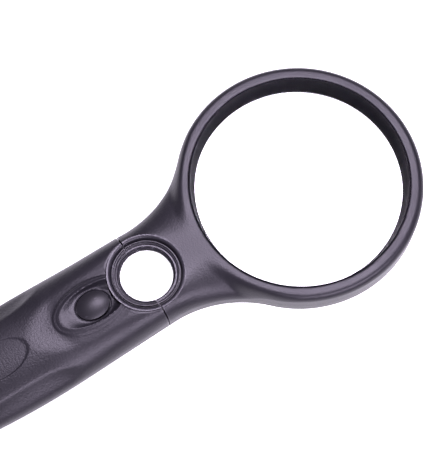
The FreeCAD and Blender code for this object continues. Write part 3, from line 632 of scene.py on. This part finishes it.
def add_turned(piece, centre, outline, seam=None, keep=1, steps=288):
    """Add a ring turned about an upright line, or only its part on one side of the seam."""
    turned = bmesh.new()
    rings = []
    for angle in np.linspace(0, math.tau, steps, endpoint=False):
        side, front = math.cos(angle), math.sin(angle)
        rings.append([turned.verts.new(((centre + radius * side) * MM, radius * front * MM, height * MM))
                      for radius, height in outline])
    count = len(outline)
    for k, ring in enumerate(rings):
        after = rings[(k + 1) % steps]
        for point in range(count):
            beside = (point + 1) % count
            turned.faces.new((ring[point], after[point], after[beside], ring[beside]))
    if seam is not None:
        everything = list(turned.verts) + list(turned.edges) + list(turned.faces)
        bmesh.ops.bisect_plane(turned, geom=everything, plane_co=(seam * MM, 0, 0), plane_no=(-keep, 0, 0),
                               clear_outer=True)
        bmesh.ops.holes_fill(turned, edges=turned.edges)
    join_form(piece, turned)


def smooth_by_angle(piece, degrees):
    """Smooth shading, with edges sharper than an angle kept crisp."""
    form = bmesh.new()
    form.from_mesh(piece.data)
    for face in form.faces:
        face.smooth = True
    for edge in form.edges:
        edge.smooth = len(edge.link_faces) == 2 and edge.calc_face_angle(0) < math.radians(degrees)
    form.to_mesh(piece.data)
    form.free()


# Front skins -------------------------------------------------------------------------------------

def skin_places(outline, stations, columns):
    """The skin's places at each station, closer together on its shoulders, and their depths."""
    shoulder = easing_steps(SHOULDER_RUN, SHOULDER_STEPS)
    middle = np.linspace(-1, 1, columns)[1:-1]
    x = np.repeat(stations[:, None], 2 * len(shoulder) + len(middle), axis=1)
    y = np.empty_like(x)
    for row, width in enumerate(outline.half_width(stations)):
        steps = shoulder * min(1, width / SHOULDER_FULL_AT)
        y[row] = np.concatenate((steps - width, middle * (width - steps[-1]), (width - steps)[::-1]))
    depth = outline.depth(x, y)
    depth[:, 0] = depth[:, -1] = 0
    return x, y, depth


def add_walls(stations, y, heights):
    """The skin's points with side walls down to the parting line, where the edge is eased."""
    walls = np.concatenate([mix(heights[:, :1], FRONT_FOOT, share) for share in WALL_SHARES], axis=1)
    eased = np.minimum(np.array(WALL_INSETS), y[:, -1:])
    full_y = np.concatenate((y[:, :1] + eased, y, (y[:, -1:] - eased)[:, ::-1]), axis=1)
    full_z = np.concatenate((walls, heights, walls[:, ::-1]), axis=1)
    full_x = np.repeat(stations[:, None], full_y.shape[1], axis=1)
    return np.stack((full_x, full_y, full_z), axis=2)


def inner_points(outer, base):
    """The inside of the skin: the plain form moved in by the thickness, and never past the outside."""
    forward = math.copysign(1, base[0, 0, 0] - base[-1, 0, 0])
    normal = -forward * np.cross(np.gradient(base, axis=0), np.gradient(base, axis=1))
    normal = normal / np.maximum(np.linalg.norm(normal, axis=2, keepdims=True), 1e-9)
    normal[0] = (forward, 0, 0)
    inner = base - SKIN * normal
    inner[:, :, 2] = np.minimum(inner[:, :, 2], np.maximum(outer[:, :, 2] - THINNEST, FRONT_FOOT))
    wall = len(WALL_SHARES)
    inner[:, :wall, 2] = outer[:, :wall, 2]
    inner[:, -wall:, 2] = outer[:, -wall:, 2]
    return inner


def make_skin(name, outline, stations, height, plain_height, columns=66):
    """A closed skin under a height function; its stations run from the rounded end to the seam."""
    x, y, depth = skin_places(outline, stations, columns)
    outer = add_walls(stations, y, height(x, y, depth))
    inner = inner_points(outer, add_walls(stations, y, plain_height(x, y, depth)))
    rows, columns = outer.shape[:2]
    count = rows * columns
    faces = grid_faces(rows, columns) + grid_faces(rows, columns, count, flip=True)
    left_foot = [row * columns for row in range(rows)]
    seam_end = list(range(count - columns, count))
    right_foot = [row * columns + columns - 1 for row in range(rows - 1, -1, -1)]
    rim = left_foot + seam_end[1:] + right_foot[1:]
    faces += [(after, index, index + count, after + count) for index, after in zip(rim, rim[1:])]
    points = np.concatenate((outer.reshape(-1, 3), inner.reshape(-1, 3))) * MM
    mesh = bpy.data.meshes.new(name)
    mesh.from_pydata(points.tolist(), [], faces)
    clean_up(mesh)
    return place(name, mesh)


def add_seam_lap(piece, outline):
    """Add a short lap inside each side wall, so that the seam doesn't let light through."""
    lap = bmesh.new()
    corners = len(LAP_OUTLINE)
    for side in (-1, 1):
        ends = []
        for x in (HANDLE_SEAM - LAP_REACH, HEAD_SEAM + LAP_REACH):
            wall = float(outline.half_width(np.array([x]))[0])
            ends.append([lap.verts.new((x * MM, side * (wall - inset) * MM, height * MM))
                         for inset, height in LAP_OUTLINE])
        for end in ends:
            lap.faces.new(end)
        for k in range(corners):
            beside = (k + 1) % corners
            lap.faces.new((ends[0][k], ends[0][beside], ends[1][beside], ends[1][k]))
    join_form(piece, lap)


def finish_skin(skin, node, material):
    """Smooth the skin, paint it, and let it stand for its CAD node."""
    smooth_by_angle(skin, degrees=40.0)
    skin.data.materials.clear()
    skin.data.materials.append(material)
    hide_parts(node)
    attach(skin, "root")


def make_handle_skin(outline, material):
    """The handle's front, with closer stations along the recess and its moat."""
    recess_start, recess_end = -47.5, -17.0
    runs = ((outline.tail_x + END_SPAN, recess_start, 66), (recess_start, recess_end, 151),
            (recess_end, HANDLE_SEAM, 12))
    rounded = outline.tail_x + easing_steps(END_SPAN, 41)
    stations = np.concatenate((rounded, *(np.linspace(*run)[1:] for run in runs)))
    skin = make_skin("handle_front_skin", outline, stations, handle_height, crowned, columns=98)
    cut_through(skin, oval_cutter("button_cutter", HOLE, bottom=9.0))
    cut_through(skin, oval_cutter("collar_cutter", (COLLAR[0], COLLAR[1], COLLAR[1])))
    add_turned(skin, COLLAR[0], COLLAR_OUTLINE, HANDLE_SEAM, keep=-1)
    finish_skin(skin, "handle_front_cover", material)


def make_head_skin(outline, material):
    """The head's front, with the tube that its lens ring sits in."""
    rounded = outline.head_x - easing_steps(END_SPAN, 51)
    straight = np.linspace(outline.head_x - END_SPAN, HEAD_SEAM, 300)[1:]
    stations = np.concatenate((rounded, straight))
    skin = make_skin("head_front_skin", outline, stations, head_height, head_height)
    cut_through(skin, oval_cutter("bore_cutter", (RING_X, BORE_RADIUS, BORE_RADIUS), steps=384))
    cut_through(skin, oval_cutter("collar_cutter", (COLLAR[0], COLLAR[1], COLLAR[1])))
    add_turned(skin, COLLAR[0], COLLAR_OUTLINE, HEAD_SEAM, keep=1)
    add_turned(skin, COLLAR[0], TONGUE_OUTLINE, HANDLE_SEAM + TONGUE_GAP, keep=1)
    add_turned(skin, RING_X, TUBE_OUTLINE, steps=384)
    add_seam_lap(skin, outline)
    finish_skin(skin, "head_front_frame", material)


# Stage -------------------------------------------------------------------------------------------

def make_floor():
    """A plain white table, much wider than the view, that glows a little so that it stays white."""
    mesh = bpy.data.meshes.new("floor")
    corners = [(x * FLOOR_HALF, y * FLOOR_HALF, 0) for x, y in ((-1, -1), (1, -1), (1, 1), (-1, 1))]
    mesh.from_pydata(corners, [], [(0, 1, 2, 3)])
    floor = place("floor", mesh)
    material, tree, shader = new_material("floor_white")
    white = ramp(tree, noise(tree, scale=12.0), (0.84, 0.84, 0.84), (0.86, 0.86, 0.86))
    tree.links.new(white, shader.inputs["Base Color"])
    shader.inputs["Roughness"].default_value = 0.9
    shader.inputs["Emission Color"].default_value = (1.0, 1.0, 1.0, 1.0)
    shader.inputs["Emission Strength"].default_value = FLOOR_GLOW
    mesh.materials.append(material)


def soft_box(name, aim, distance, size, energy):
    """A soft box that faces the magnifier from a direction."""
    data = bpy.data.lights.new(name, "AREA")
    data.shape = "RECTANGLE"
    data.size, data.size_y = size
    data.energy = energy
    data.color = LIGHT_TINT
    light = place(name, data)
    aim = Vector(aim).normalized()
    light.location = CAMERA_TARGET + aim * distance
    light.rotation_euler = aim.to_track_quat("Z", "X").to_euler()


def make_light():
    """A soft box overhead and a long low one at the near side, in a dim surround."""
    world = bpy.data.worlds.new("studio")
    bpy.context.scene.world = world
    world.use_nodes = True
    background = world.node_tree.nodes["Background"]
    background.inputs["Color"].default_value = SURROUND_TINT
    background.inputs["Strength"].default_value = SURROUND_STRENGTH
    soft_box("overhead_box", *OVERHEAD_BOX)
    soft_box("near_box", *NEAR_BOX)


def make_camera():
    """The camera, level across its picture and turned to its target."""
    sine, cosine = math.sin(CAMERA_AZIMUTH), math.cos(CAMERA_AZIMUTH)
    rise, level = math.sin(CAMERA_ELEVATION), math.cos(CAMERA_ELEVATION)
    back = Vector((sine * level, -cosine * level, rise))
    right = Vector((cosine, sine, 0))
    up = back.cross(right)
    data = bpy.data.cameras.new("camera")
    data.lens = FOCAL_LENGTH
    data.sensor_width = SENSOR_SIZE
    data.clip_start = 0.01
    camera = place("camera", data)
    turn = Matrix((right, up, back)).transposed().to_4x4()
    camera.matrix_world = Matrix.Translation(CAMERA_TARGET + back * CAMERA_DISTANCE) @ turn
    bpy.context.scene.camera = camera


make_camera()
make_floor()
make_light()
housing = finish_materials()
outline = Outline()
make_handle_skin(outline, housing)
make_head_skin(outline, housing)
# the floor seen through the lenses stays white
for name in ("main_lens", "small_lens"):
    NODES[name].visible_shadow = False
bpy.context.scene.view_settings.view_transform = "Standard"
